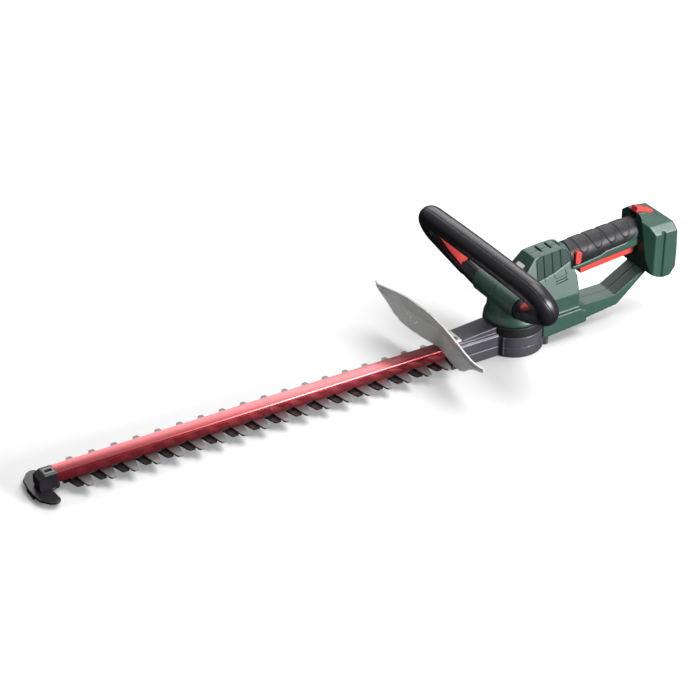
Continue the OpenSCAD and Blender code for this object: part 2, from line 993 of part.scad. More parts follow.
module motor_pinion() {
    color("#d0d2d5")
        translate([motor_x, 0, gear_z])
            rotate([0, 0, 180 / pinion_teeth])
                gear(pinion_teeth, gear_t, shaft_r, 0.8, 1.1);
}

module drive_gear() {
    color("#b8babd")
        translate([0, 0, gear_z])
            gear(gear_teeth, gear_t, crank_r, 0.8, 1.1);
}

module crankshaft() {
    color("#d0d2d5") {
        translate([0, 0, 3.4])
            cylinder(h = 27.4, r = crank_r);
        translate([crank_throw, 0, upper_blade_z])
            cylinder(h = blade_t, r = eccentric_r);
        translate([-crank_throw, 0, lower_blade_z])
            cylinder(h = blade_t, r = eccentric_r);
    }
}

module crank_bearing(h) {
    difference() {
        cylinder(h = h, r = 11 - fit_gap);
        translate([0, 0, -1])
            cylinder(h = h + 2, r = crank_r + fit_gap);
    }
}

module crank_upper_bearing() {
    color("#b8babd")
        translate([0, 0, 26])
            crank_bearing(5);
}

module crank_lower_bearing() {
    color("#b8babd")
        translate([0, 0, 3.1])
            crank_bearing(5);
}

// ---------- blades and bar ----------

// One tooth on each side of the blade, drawn as a single outline
module tooth_pair(reach, base, tip) {
    edge = [[base, 0], [tip + 1, reach - 3], [tip - 1, reach], [-tip, reach], [-tip - 1.5, reach - 4]];
    polygon(concat(edge, [[-base, 0]], [for (i = [4:-1:1]) [edge[i][0], -edge[i][1]]]));
}

// Round-ended slot or plate along X
module stadium(half_length, r) {
    for (end = [-1, 1])
        translate([end * half_length, 0])
            circle(r = r);
    square([2 * half_length, 2 * r], center = true);
}

module blade(shift, z, reach, base, tip) {
    translate([shift, 0, z])
        linear_extrude(height = blade_t)
            difference() {
                union() {
                    stadium(stroke / 2, yoke_r);
                    translate([spine_x, -spine_w])
                        square([last_tooth_x + 15 - spine_x, 2 * spine_w]);
                    for (i = [0:tooth_count - 1])
                        translate([neutral_tooth_x + i * tooth_pitch, 0])
                            tooth_pair(reach, base, tip);
                }
                stadium(stroke / 2, window_r);
                for (i = [0:bolt_count - 1])
                    translate([bolt_x0 + i * bolt_pitch, 0])
                        stadium(stroke / 2 + 0.3, bush_r + 0.15);
            }
}

module upper_blade() {
    color("#b9b9bb")
        blade(upper_shift, upper_blade_z, upper_tooth_reach, 10.5, 3.2);
}

module lower_blade() {
    color("#4a4a4d")
        blade(lower_shift, lower_blade_z, lower_tooth_reach, 10.5, 4.2);
}

// Right edge of the bar's section, with a groove along it just below the top
bar_side = [[bar_w / 2, bar_z], [bar_w / 2, bar_top_z - 3], [bar_w / 2 - 1.1, bar_top_z - 2.7],
    [bar_w / 2 - 1.1, bar_top_z - 1.4], [bar_w / 2 - 0.5, bar_top_z - 1.1], [bar_w / 2 - 1, bar_top_z]];

// Hollow aluminium bar that stiffens the blades
module blade_bar() {
    color("#c8343a")
        difference() {
            translate([nose_x - 28, 0, 0])
                rotate([90, 0, 90])
                    linear_extrude(height = bar_x1 - nose_x + 28)
                        difference() {
                            polygon(concat(bar_side, [for (i = [len(bar_side) - 1:-1:0])
                                [-bar_side[i][0], bar_side[i][1]]]));
                            translate([-bar_hollow_w / 2, bar_z + 3])
                                square([bar_hollow_w, 7.6]);
                        }
            for (i = [0:bolt_count - 1])
                translate([bolt_x0 + i * bolt_pitch, 0, 0])
                    cylinder(h = 26.2, r = bolt_r + fit_gap);
        }
}

module blade_bolts() {
    color("#8f9296")
        for (i = [0:bolt_count - 1])
            translate([bolt_x0 + i * bolt_pitch, 0, lower_blade_z - 0.3])
                rotate([180, 0, 0])
                    screw(16.5, bolt_r, 6, 2.6);
}

module guide_bushes() {
    color("#b8babd")
        for (i = [0:bolt_count - 1])
            translate([bolt_x0 + i * bolt_pitch, 0, lower_blade_z - 0.25])
                difference() {
                    cylinder(h = bar_z - lower_blade_z + 0.2, r = bush_r);
                    translate([0, 0, -1])
                        cylinder(h = 20, r = bolt_r + fit_gap);
                }
}

// ---------- tip ----------

module tip_cap() {
    color("#2a282c")
        difference() {
            slab(bar_w / 2)
                polygon([[bar_x1 + 0.1, 15], [bar_x1 + 0.1, bar_top_z], [bar_x1 + 16, bar_top_z],
                         [bar_x1 + 24, bar_top_z - 5], [bar_x1 + 24.5, 13], [bar_x1 + 23, tip_top_z],
                         [bar_x1 - 2, tip_top_z], [bar_x1 - 2, 14.9], [bar_x1, 14.9]]);
            translate([bar_x1 + 1.4, -6.2, bar_top_z - 2.5])
                cube([13.2, 12.4, 5]);
            translate([tip_screw_x, 0, 0])
                cylinder(h = 20, r = 1.55);
        }
}

// Steel insert with a slot, let into the top of the cap
module tip_insert() {
    color("#b8babd")
        translate([bar_x1 + 1.5, 0, bar_top_z - 2.45])
            difference() {
                translate([0, -6.1, 0])
                    cube([13, 12.2, 2.9]);
                translate([6.5, 0, 1])
                    cube([9.8, 5.8, 6], center = true);
            }
}

// Bumper plate under the tip, with an ear each side and a lip in front
module tip_guard() {
    color("#2a282c")
        difference() {
            union() {
                translate([0, 0, tip_plate_z])
                    linear_extrude(height = tip_top_z - tip_plate_z)
                        for (side = [0, 1])
                            mirror([0, side]) {
                                polygon([[bar_x1 - 2, 0], [bar_x1 - 2, 8], [bar_x1 + 9, 11], [bar_x1 + 8, 30],
                                         [bar_x1 + 22, 37], [bar_x1 + 32, 24], [bar_x1 + 34, 0]]);
                                translate([bar_x1 + 15.5, 31])
                                    circle(r = 8);
                            }
                translate([bar_x1 + 31, -10, 0.8])
                    cube([2.6, 20, tip_top_z - 0.8]);
            }
            translate([tip_screw_x, 0, 0])
                cylinder(h = 20, r = 1.9);
        }
}

module tip_screw() {
    color("#9a9ca0")
        translate([tip_screw_x, 0, tip_plate_z])
            rotate([180, 0, 0])
                screw(13, 1.5, 3.2, 2);
}

housing_left();
housing_right();
soft_grip();
vent_panel_left();
vent_panel_right();
badge_plate();
housing_screws();
gearbox_housing();
gearbox_cover();
gearbox_screws();
gearbox_seal();
hand_guard();
guard_screws();
front_handle_front();
front_handle_rear();
front_handle_screws();
front_switch_bar();
switch_bar_springs();
front_switch();
rear_trigger();
trigger_pin();
trigger_spring();
trigger_switch();
lock_button();
lock_spring();
release_button();
release_spring();
battery_rails();
terminal_block();
battery_contacts();
control_board();
motor_can();
motor_magnets();
motor_end_cap();
motor_plate();
motor_bearings();
motor_rotor();
motor_shaft();
motor_fan();
motor_pinion();
drive_gear();
crankshaft();
crank_upper_bearing();
crank_lower_bearing();
upper_blade();
lower_blade();
blade_bar();
blade_bolts();
guide_bushes();
tip_cap();
tip_guard();
tip_insert();
tip_screw();
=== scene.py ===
"""Looks for a cordless hedge trimmer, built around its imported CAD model.

Everything is in metres in the frame of the CAD model: X to the blade tip, Y to the user's left, Z up.
"""

import json
import math

import bmesh
import bpy
from mathutils import Matrix, Vector

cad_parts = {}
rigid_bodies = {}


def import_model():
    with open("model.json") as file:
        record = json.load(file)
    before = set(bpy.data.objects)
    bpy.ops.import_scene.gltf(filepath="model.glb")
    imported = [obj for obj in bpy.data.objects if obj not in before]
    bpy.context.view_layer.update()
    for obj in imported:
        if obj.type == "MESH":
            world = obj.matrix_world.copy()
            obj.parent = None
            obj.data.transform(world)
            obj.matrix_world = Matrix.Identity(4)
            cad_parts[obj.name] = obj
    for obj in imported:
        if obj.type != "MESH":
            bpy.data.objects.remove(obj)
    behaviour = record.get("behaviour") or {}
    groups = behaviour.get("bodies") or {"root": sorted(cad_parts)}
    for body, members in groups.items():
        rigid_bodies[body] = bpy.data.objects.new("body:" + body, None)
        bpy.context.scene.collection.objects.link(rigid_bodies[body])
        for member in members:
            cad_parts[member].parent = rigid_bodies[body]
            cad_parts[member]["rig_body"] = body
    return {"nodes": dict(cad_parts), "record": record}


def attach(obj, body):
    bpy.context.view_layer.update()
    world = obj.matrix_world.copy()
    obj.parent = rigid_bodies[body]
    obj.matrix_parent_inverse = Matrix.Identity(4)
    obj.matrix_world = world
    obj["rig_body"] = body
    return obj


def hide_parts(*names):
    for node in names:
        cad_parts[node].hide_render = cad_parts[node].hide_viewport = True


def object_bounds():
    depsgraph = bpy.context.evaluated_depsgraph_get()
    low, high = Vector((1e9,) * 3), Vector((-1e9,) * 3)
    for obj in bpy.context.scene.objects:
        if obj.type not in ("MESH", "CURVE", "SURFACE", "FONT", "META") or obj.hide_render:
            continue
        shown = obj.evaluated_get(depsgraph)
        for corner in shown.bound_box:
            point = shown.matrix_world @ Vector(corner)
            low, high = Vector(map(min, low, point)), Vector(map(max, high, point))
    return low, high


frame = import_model()
cad_low, cad_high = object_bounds()
MM = 0.001

# ---------- materials ----------


# The colour sockets of a Mix node, which share their names with its other sockets
MIX_FIRST = 6
MIX_SECOND = 7
MIX_RESULT = 2


class Look:
    """A Principled material that is built up from procedural layers in object coordinates."""

    def __init__(self, name, roughness, metallic=0.0, specular=0.5):
        self.name = name
        self.material = bpy.data.materials.new(name)
        self.material.use_nodes = True
        self.tree = self.material.node_tree
        self.shader = self.tree.nodes["Principled BSDF"]
        self.shader.inputs["Metallic"].default_value = metallic
        self.shader.inputs["Specular IOR Level"].default_value = specular
        self.shader.inputs["Roughness"].default_value = roughness
        self.place = self.node("ShaderNodeTexCoord").outputs["Object"]
        self.height = None

    def node(self, kind, **values):
        """A new shader node with some of its settings changed."""
        made = self.tree.nodes.new(kind)
        for key, value in values.items():
            setattr(made, key, value)
        return made

    def link(self, start, end):
        self.tree.links.new(start, end)

    def stretched(self, scale):
        """Object coordinates stretched by scale."""
        mapping = self.node("ShaderNodeMapping")
        mapping.inputs["Scale"].default_value = scale
        self.link(self.place, mapping.inputs["Vector"])
        return mapping.outputs["Vector"]

    def noise(self, per_metre, detail=3, scale=(1, 1, 1)):
        """Soft noise from 0 to 1, with about per_metre blotches in a metre."""
        made = self.node("ShaderNodeTexNoise")
        made.inputs["Scale"].default_value = per_metre
        made.inputs["Detail"].default_value = detail
        self.link(self.stretched(scale), made.inputs["Vector"])
        return made.outputs["Fac"]

    def spots(self, per_metre):
        """Round cells that are 0 in their middles, about per_metre of them in a metre."""
        made = self.node("ShaderNodeTexVoronoi")
        made.inputs["Scale"].default_value = per_metre
        self.link(self.place, made.inputs["Vector"])
        return made.outputs["Distance"]

    def ramp(self, factor, low, high, start=0.3, end=0.7):
        """A value or colour from low to high as factor goes from start to end."""
        made = self.node("ShaderNodeMapRange" if isinstance(low, float) else "ShaderNodeValToRGB")
        if isinstance(low, float):
            made.inputs["From Min"].default_value = start
            made.inputs["From Max"].default_value = end
            made.inputs["To Min"].default_value = low
            made.inputs["To Max"].default_value = high
            self.link(factor, made.inputs["Value"])
            return made.outputs["Result"]
        for element, position, colour in zip(made.color_ramp.elements, (start, end), (low, high)):
            element.position = position
            element.color = (*colour, 1)
        self.link(factor, made.inputs["Fac"])
        return made.outputs["Color"]

    def mix(self, factor, first, second):
        """A colour from first to second as factor goes from 0 to 1; each may be an output or a colour."""
        made = self.node("ShaderNodeMix", data_type="RGBA")
        self.link(factor, made.inputs["Factor"])
        for socket, value in ((MIX_FIRST, first), (MIX_SECOND, second)):
            if isinstance(value, tuple):
                made.inputs[socket].default_value = (*value, 1)
            else:
                self.link(value, made.inputs[socket])
        return made.outputs[MIX_RESULT]

    def colour(self, output):
        self.link(output, self.shader.inputs["Base Color"])

    def roughness(self, output):
        self.link(output, self.shader.inputs["Roughness"])

    def bump(self, output, depth, strength=1.0):
        """Adds a relief of the given depth in metres on top of the ones before it."""
        made = self.node("ShaderNodeBump")
        made.inputs["Distance"].default_value = depth
        made.inputs["Strength"].default_value = strength
        self.link(output, made.inputs["Height"])
        if self.height is not None:
            self.link(self.height, made.inputs["Normal"])
        self.height = made.outputs["Normal"]
        self.link(self.height, self.shader.inputs["Normal"])

    def worn_edges(self, colour, worn, amount):
        """Colour that lightens to worn on sharp outer edges, broken up by noise."""
        geometry = self.node("ShaderNodeNewGeometry")
        edge = self.ramp(geometry.outputs["Pointiness"], 0.0, amount, 0.53, 0.62)
        broken = self.node("ShaderNodeMath", operation="MULTIPLY")
        self.link(edge, broken.inputs[0])
        self.link(self.ramp(self.noise(220, 4), 0.2, 1.0), broken.inputs[1])
        return self.mix(broken.outputs[0], colour, worn)


def plastic(name, dark, light, roughness, grain=1800, depth=0.04 * MM, specular=0.45):
    """Moulded plastic with a fine spark-eroded grain and faint flow marks."""
    look = Look(name, roughness, specular=specular)
    look.colour(look.ramp(look.noise(14, 2), dark, light, 0.35, 0.65))
    look.roughness(look.ramp(look.noise(90, 4), roughness - 0.03, roughness + 0.03))
    look.bump(look.noise(grain, 2), depth)
    return look


def metal(name, dark, light, roughness, brush=(1, 1, 1)):
    """Metal with tool marks drawn along one axis and dulled patches."""
    look = Look(name, roughness, metallic=1.0)
    marks = look.noise(900, scale=brush)
    look.colour(look.worn_edges(look.ramp(marks, dark, light), light, 0.6))
    look.roughness(look.ramp(look.noise(60, 4), roughness - 0.08, roughness + 0.1))
    look.bump(marks, 0.01 * MM)
    return look


# How far from the middle of the blade the painted shade at the roots of the teeth, by the bar, starts to
# give way to their ground-bright tips, and where the tips are fully bright
ROOT_SHADE_TO_GRIND_FROM = 12 * MM
ROOT_SHADE_TO_GRIND_TO = 30 * MM


def tooth_steel(name, root, tip):
    """Blackened blade steel with painted shade at the roots of its teeth, by the bar, that gives way to
    ground-bright tips.
    """
    look = Look(name, 0.5, metallic=0.2, specular=0.35)
    marks = look.noise(1200, scale=(1, 0.06, 1))
    across = look.node("ShaderNodeSeparateXYZ")
    look.link(look.place, across.inputs[0])
    reach = look.node("ShaderNodeMath", operation="ABSOLUTE")
    look.link(across.outputs["Y"], reach.inputs[0])
    # Painted shade at the roots by the bar (the root colour), fading to the really ground-bright tips
    ground = look.ramp(reach.outputs[0], 0.0, 1.0, ROOT_SHADE_TO_GRIND_FROM, ROOT_SHADE_TO_GRIND_TO)
    worn = tuple(0.8 * value for value in tip)
    look.colour(look.mix(ground, root, look.ramp(marks, worn, tip)))
    look.roughness(look.ramp(look.noise(60, 4), 0.38, 0.52))
    look.bump(marks, 0.006 * MM)
    return look


def rubber(name, dark, light, roughness):
    """Soft overmoulded rubber with a leathery grain."""
    look = Look(name, roughness, specular=0.35)
    look.colour(look.ramp(look.noise(30), dark, light))
    look.roughness(look.ramp(look.noise(150), roughness - 0.08, roughness + 0.08))
    look.bump(look.spots(1400), 0.05 * MM, 0.6)
    return look


def cast_metal(name, dark, light):
    """Powder-coated die casting with a fine orange-peel surface."""
    look = Look(name, 0.36, metallic=0.25)
    look.colour(look.ramp(look.noise(22), dark, light))
    look.roughness(look.ramp(look.noise(260, 4), 0.3, 0.46))
    look.bump(look.noise(700, 4), 0.05 * MM, 0.8)
    return look


def smoked(name):
    """Smoke-grey see-through plastic with light scuffs."""
    look = Look(name, 0.2)
    look.shader.inputs["Transmission Weight"].default_value = 0.45
    look.shader.inputs["IOR"].default_value = 1.3
    look.colour(look.ramp(look.noise(25), (0.74, 0.75, 0.74), (0.8, 0.81, 0.8)))
    look.roughness(look.ramp(look.noise(60), 0.2, 0.28))
    look.bump(look.noise(900, 2), 0.004 * MM, 0.5)
    return look


def anodised(name):
    """Red anodised extrusion with fine die lines along its length."""
    look = Look(name, 0.3, metallic=0.8)
    look.shader.inputs["Coat Weight"].default_value = 0.7
    look.shader.inputs["Coat Roughness"].default_value = 0.25
    lines = look.noise(1500, scale=(0.004, 1, 1))
    look.colour(look.ramp(lines, (0.34, 0.03, 0.04), (0.38, 0.036, 0.046)))
    look.roughness(look.ramp(look.noise(40, 4, (0.2, 1, 1)), 0.2, 0.34))
    look.bump(lines, 0.01 * MM, 0.5)
    return look


def board(name):
    """Green circuit board with copper tracks under its mask."""
    look = Look(name, 0.35)
    tracks = look.node("ShaderNodeTexBrick")
    tracks.inputs["Scale"].default_value = 120
    tracks.inputs["Mortar Size"].default_value = 0.03
    tracks.inputs["Color1"].default_value = (0.01, 0.12, 0.05, 1)
    tracks.inputs["Color2"].default_value = (0.012, 0.15, 0.06, 1)
    tracks.inputs["Mortar"].default_value = (0.05, 0.24, 0.1, 1)
    look.link(look.place, tracks.inputs["Vector"])
    look.colour(tracks.outputs["Color"])
    look.bump(tracks.outputs["Fac"], 0.04 * MM)
    return look


def laminated(name):
    """Stack of thin steel sheets."""
    look = Look(name, 0.4, metallic=0.8)
    sheets = look.node("ShaderNodeTexWave", bands_direction="Z")
    sheets.inputs["Scale"].default_value = 320
    sheets.inputs["Distortion"].default_value = 0.2
    look.link(look.place, sheets.inputs["Vector"])
    look.colour(look.ramp(sheets.outputs["Fac"], (0.12, 0.09, 0.07), (0.36, 0.3, 0.25), 0.2, 0.8))
    look.bump(sheets.outputs["Fac"], 0.05 * MM)
    return look


BRUSHED_X = (0.05, 1, 1)
BRUSHED_Z = (1, 1, 0.05)
# Blotches per metre and depth
CAST_GRAIN = (1500, 0.07 * MM)
FINE_GRAIN = (2500, 0.006 * MM)
LOOKS = (
    plastic(
        "green_shell", (0.014, 0.053, 0.038), (0.018, 0.062, 0.045), 0.45, *CAST_GRAIN, specular=0.65
    ),
    plastic("dark_green", (0.003, 0.02, 0.013), (0.004, 0.026, 0.018), 0.45, specular=0.25),
    rubber("grip_rubber", (0.012, 0.011, 0.014), (0.02, 0.019, 0.023), 0.5),
    plastic("badge_white", (0.62, 0.62, 0.62), (0.8, 0.8, 0.8), 0.3),
    metal("dark_screw", (0.05, 0.05, 0.055), (0.16, 0.16, 0.17), 0.35),
    cast_metal("anthracite_cast", (0.05, 0.048, 0.06), (0.078, 0.075, 0.09)),
    metal("steel", (0.16, 0.16, 0.165), (0.26, 0.26, 0.265), 0.5),
    rubber("seal_rubber", (0.008, 0.008, 0.009), (0.014, 0.014, 0.015), 0.55),
    smoked("smoked_plastic"),
    plastic(
        "black_plastic", (0.01, 0.0085, 0.012), (0.013, 0.011, 0.016), 0.36, *FINE_GRAIN, specular=0.55
    ),
    plastic("red_plastic", (0.52, 0.05, 0.045), (0.6, 0.065, 0.055), 0.36),
    metal("spring_steel", (0.3, 0.3, 0.31), (0.6, 0.6, 0.61), 0.25, BRUSHED_Z),
    plastic("dark_plastic", (0.018, 0.018, 0.02), (0.028, 0.028, 0.031), 0.5),
    metal("contact_brass", (0.5, 0.3, 0.08), (0.8, 0.55, 0.2), 0.25, BRUSHED_X),
    board("board_green"),
    metal("motor_steel", (0.22, 0.22, 0.23), (0.46, 0.46, 0.47), 0.35, BRUSHED_Z),
    metal("magnet", (0.04, 0.04, 0.045), (0.1, 0.1, 0.11), 0.5),
    laminated("laminated_core"),
    metal("gear_steel", (0.4, 0.4, 0.41), (0.7, 0.7, 0.71), 0.22, BRUSHED_Z),
    tooth_steel("blade_steel", (0.03, 0.029, 0.031), (0.23, 0.23, 0.235)),
    # dark_blade is a shaded copy of blade_steel: its near-black colours are painted shadow cast by the
    # upper blade on the lower one
    tooth_steel("dark_blade", (0.008, 0.008, 0.009), (0.03, 0.03, 0.031)),
    anodised("red_bar"),
    metal("bolt_steel", (0.25, 0.25, 0.26), (0.5, 0.5, 0.51), 0.3),
)
MATERIALS = {look.name: look.material for look in LOOKS}

# ---------- pieces ----------

SLOT_OF = {part["node"]: part["material_slot"] for part in frame["record"]["subparts"]}


def clean_copy(node):
    """A welded copy of a CAD node's mesh, as bmesh."""
    made = bmesh.new()
    made.from_mesh(frame["nodes"][node].data)
    bmesh.ops.remove_doubles(made, verts=made.verts, dist=1e-7)
    return made


def new_object(name, made):
    """A new object that takes over a bmesh."""
    mesh = bpy.data.meshes.new(name)
    made.to_mesh(mesh)
    made.free()
    shown = bpy.data.objects.new(name, mesh)
    bpy.context.scene.collection.objects.link(shown)
    return shown


def shade(shown, crease):
    """Smooth shading, with a crease where faces meet at more than so many degrees."""
    shown.data.shade_smooth()
    shown.data.set_sharp_from_angle(angle=math.radians(crease))


def dress(shown, node):
    """Gives an object the material of a CAD node and lets it stand for that node."""
    slot = SLOT_OF[node]
    shown.data.materials.clear()
    shown.data.materials.append(MATERIALS[slot])
    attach(shown, frame["nodes"][node]["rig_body"])
    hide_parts(node)
    return shown


def cutter(name, made):
    """A helper object made from a bmesh, which finish_cuts cuts out of a piece."""
    bmesh.ops.recalc_face_normals(made, faces=made.faces)
    return new_object(name, made)


def finish_cuts(shown, cutters, solver):
    """Cuts the cutters out of a piece, makes all its modifiers final and deletes the cutters."""
    for tool in cutters:
        cut = shown.modifiers.new("cut", "BOOLEAN")
        cut.object = tool
        cut.operation = "DIFFERENCE"
        cut.solver = solver
    depsgraph = bpy.context.evaluated_depsgraph_get()
    mesh = bpy.data.meshes.new_from_object(shown.evaluated_get(depsgraph))
    shown.modifiers.clear()
    shown.data = mesh
    for tool in cutters:
        bpy.data.objects.remove(tool)


def moulded(node, voxel, rounds, cutters=()):
    """A CAD node as a moulding: its edges are rounded by rounds of smoothing on a fine grid."""
    shown = new_object(node + "_moulded", clean_copy(node))
    grid = shown.modifiers.new("grid", "REMESH")
    grid.mode = "VOXEL"
    grid.voxel_size = voxel
    soften = shown.modifiers.new("soften", "SMOOTH")
    soften.factor = 0.5
    soften.iterations = rounds
    finish_cuts(shown, cutters, "MANIFOLD")
    shade(shown, 42)
    return dress(shown, node)


def machined(node, width, least_angle=30):
    """A CAD node with a small bevel along its edges of more than least_angle degrees."""
    made = clean_copy(node)
    bmesh.ops.dissolve_limit(made, angle_limit=math.radians(0.6), verts=made.verts, edges=made.edges)
    least = math.radians(least_angle)
    sharp = [e for e in made.edges if len(e.link_faces) == 2 and e.calc_face_angle() > least]
    bmesh.ops.bevel(
        made, geom=sharp, offset=width, segments=2, profile=0.6, affect="EDGES", clamp_overlap=True
    )
    shown = new_object(node + "_machined", made)
    shade(shown, 35)
    return dress(shown, node)


def smooth_step(value):
    """0 below 0, 1 above 1 and a soft rise between them."""
    value = min(1.0, max(0.0, value))
    return value * value * (3 - 2 * value)


# ---------- grooves and slots ----------

FACE_LEAN = math.radians(11.3)
HUMP_HALF_WIDTH = 28 * MM
FACE_HINGE_Z = 64 * MM
# Runs of points on the side of the hump in millimetres, with the width and the depth of the groove
FACE_RUNS = (
    (((-33.5, 35), (-34.5, 28.5), (-37.5, 27.2)), 1.0, 0.9),
    (((-47, 38.6), (-51, 29.5), (-69, 32), (-65.5, 39.5)), 1.0, 0.9),
    (((-51, 25.8), (-67, 27.8)), 2.0, 1.8),
    (((-52, 22.2), (-68.5, 24.2)), 2.0, 1.8),
    (((-47, -13.4), (-85, -13.4)), 1.0, 0.9),
    (((-47, -6), (-85, -4.6)), 0.8, 0.7),
)


def side_face(side):
    """Frame on the leaning side of the hump: X back to front, Y out of the face, Z up along it."""
    turn = Matrix.Translation((0, HUMP_HALF_WIDTH, FACE_HINGE_Z)) @ Matrix.Rotation(FACE_LEAN, 4, "X")
    return Matrix.Diagonal((1, side, 1, 1)) @ turn


def groove(name, place, start, end, width, depth):
    """A box cutter from start to end (X, Z) in the XZ plane of place, sunk depth into it."""
    run = Vector((end[0] - start[0], 0, end[1] - start[1]))
    out = Vector((0, 1, 0))
    along = Matrix((run.normalized(), out, run.normalized().cross(out))).transposed()
    middle = Matrix.Translation(((start[0] + end[0]) / 2 * MM, 0, (start[1] + end[1]) / 2 * MM))
    size = Matrix.Diagonal(((run.length + width) * MM, 2 * depth * MM, width * MM, 1))
    made = bmesh.new()
    bmesh.ops.create_cube(made, size=1, matrix=place @ middle @ along.to_4x4() @ size)
    return cutter(name, made)


def face_grooves(side):
    """Cutters for the thin grooves and the two slots in the side of the hump, one for each straight run."""
    face = side_face(side)
    cuts = []
    for points, width, depth in FACE_RUNS:
        for start, end in zip(points, points[1:]):
            cuts.append(groove(f"groove_{side}_{len(cuts)}", face, start, end, width, depth))
    return cuts


# ---------- front handle ----------

BAIL_BASE = Vector((20, 0, 81)) * MM
BAIL_LEAN = math.radians(27)
BAIL_R = 14.5 * MM
BAIL_SWELL = 1.2 * MM
BAIL_WALL = 3 * MM
ARM_STARTS = 40.1 * MM
ARM_RISE = math.radians(30)
ARM_BEND = Vector((46, 24)) * MM
END_R = 20 * MM
END_CENTRE = Vector((112, 57.5)) * MM
BOW_ANGLE = math.radians(3)
ROOT_STEPS = 10
ARM_STEPS = 24
END_STEPS = 30
BOW_STEPS = 20


def bail_plane():
    """Frame of the leaning loop: X across to the left, Y up the plane, Z forward out of it."""
    turn = Matrix.Rotation(BAIL_LEAN, 4, "Y")
    axes = Matrix(((0, 0, 1, 0), (1, 0, 0, 0), (0, 1, 0, 0), (0, 0, 0, 1)))
    return Matrix.Translation(BAIL_BASE) @ turn @ axes


def arc(centre, radius, start, end, steps):
    """Points on an arc with their outward direction, as (place, angle)."""
    return [
        (centre + radius * Vector((math.cos(a), math.sin(a))), a)
        for a in (start + (end - start) * i / steps for i in range(steps + 1))
    ]


def bail_path():
    """Centre line of the loop from socket to socket: (place, outward angle, run from the nearer socket)."""
    root = arc(ARM_BEND, ARM_BEND.y, -math.pi / 2, ARM_RISE - math.pi / 2, ROOT_STEPS)
    end = arc(END_CENTRE, END_R, ARM_RISE - math.pi / 2, math.pi / 2 - BOW_ANGLE, END_STEPS)
    shares = [i / ARM_STEPS for i in range(1, ARM_STEPS)]
    arm = [(root[-1][0].lerp(end[0][0], share), root[-1][1]) for share in shares]
    bow_r = END_R + END_CENTRE.x / math.sin(BOW_ANGLE)
    bow_centre = Vector((0, END_CENTRE.y - (bow_r - END_R) * math.cos(BOW_ANGLE)))
    bow = arc(bow_centre, bow_r, math.pi / 2 - BOW_ANGLE, math.pi / 2, BOW_STEPS)
    stub = [(Vector((ARM_STARTS, 0)), -math.pi / 2)]
    half = stub + root + arm + end + bow[1:]
    whole = half + [(Vector((-p.x, p.y)), math.pi - a) for p, a in reversed(half[:-1])]
    runs = [0.0]
    for (before, _), (after, _) in zip(whole, whole[1:]):
        runs.append(runs[-1] + (after - before).length)
    return [(place, angle, min(run, runs[-1] - run)) for (place, angle), run in zip(whole, runs)]


def swept(rings):
    """Closed solid through rings of corners that lie on stations of a path."""
    made = bmesh.new()
    rows = [[made.verts.new(corner) for corner in ring] for ring in rings]
    for before, after in zip(rows, rows[1:]):
        for k in range(len(before)):
            n = (k + 1) % len(before)
            made.faces.new((before[k], before[n], after[n], after[k]))
    for row in (rows[0], rows[-1]):
        half = len(row) // 2
        for k in range(half - 1):
            made.faces.new((row[k], row[k + 1], row[-k - 2], row[-k - 1]))
    bmesh.ops.recalc_face_normals(made, faces=made.faces)
    return made


def at_station(place, angle, corners):
    """Corners (outward, forward) of a section set at one station of the loop."""
    outward = Vector((math.cos(angle), math.sin(angle)))
    return [Vector((place.x + r * outward.x, place.y + r * outward.y, z)) for r, z in corners]


# Lengths along the path, from the nearer socket
COLLAR_STARTS = 30 * MM
COLLAR_RUN = 3 * MM
SLOT_STARTS = 33 * MM
SLOT_OPENS_IN = 9 * MM
SLOT_NARROWS_FROM = 50 * MM
SLOT_NARROWS_IN = 42 * MM
SWITCH_STARTS = 36 * MM
SWITCH_RISES_IN = 12 * MM

SLOT_HALF_WIDE = 11 * MM
SLOT_HALF_NARROW = 7.6 * MM
WALL_STEPS = 26
HANDLE_ROUNDING = 0.7 * MM
DIMPLE = Vector((125, 66.5)) * MM
DIMPLE_INNER_R = 1.8 * MM
DIMPLE_OUTER_R = 2.2 * MM
DIMPLE_DEPTH = 2.5 * MM


def slot_half(run):
    """Half the width of the slot: it is widest by the necks and narrows towards the corners."""
    narrowing = smooth_step((run - SLOT_NARROWS_FROM) / SLOT_NARROWS_IN)
    return SLOT_HALF_WIDE + (SLOT_HALF_NARROW - SLOT_HALF_WIDE) * narrowing


def dimple(side):
    """Cutter for the small round dimple near one corner of the loop's front."""
    made = bmesh.new()
    place = Matrix.Translation((side * DIMPLE.x, DIMPLE.y, BAIL_R + BAIL_SWELL))
    bmesh.ops.create_cone(
        made,
        cap_ends=True,
        segments=24,
        radius1=DIMPLE_INNER_R,
        radius2=DIMPLE_OUTER_R,
        depth=2 * DIMPLE_DEPTH,
        matrix=bail_plane() @ place,
    )
    return cutter(f"dimple_{side}", made)


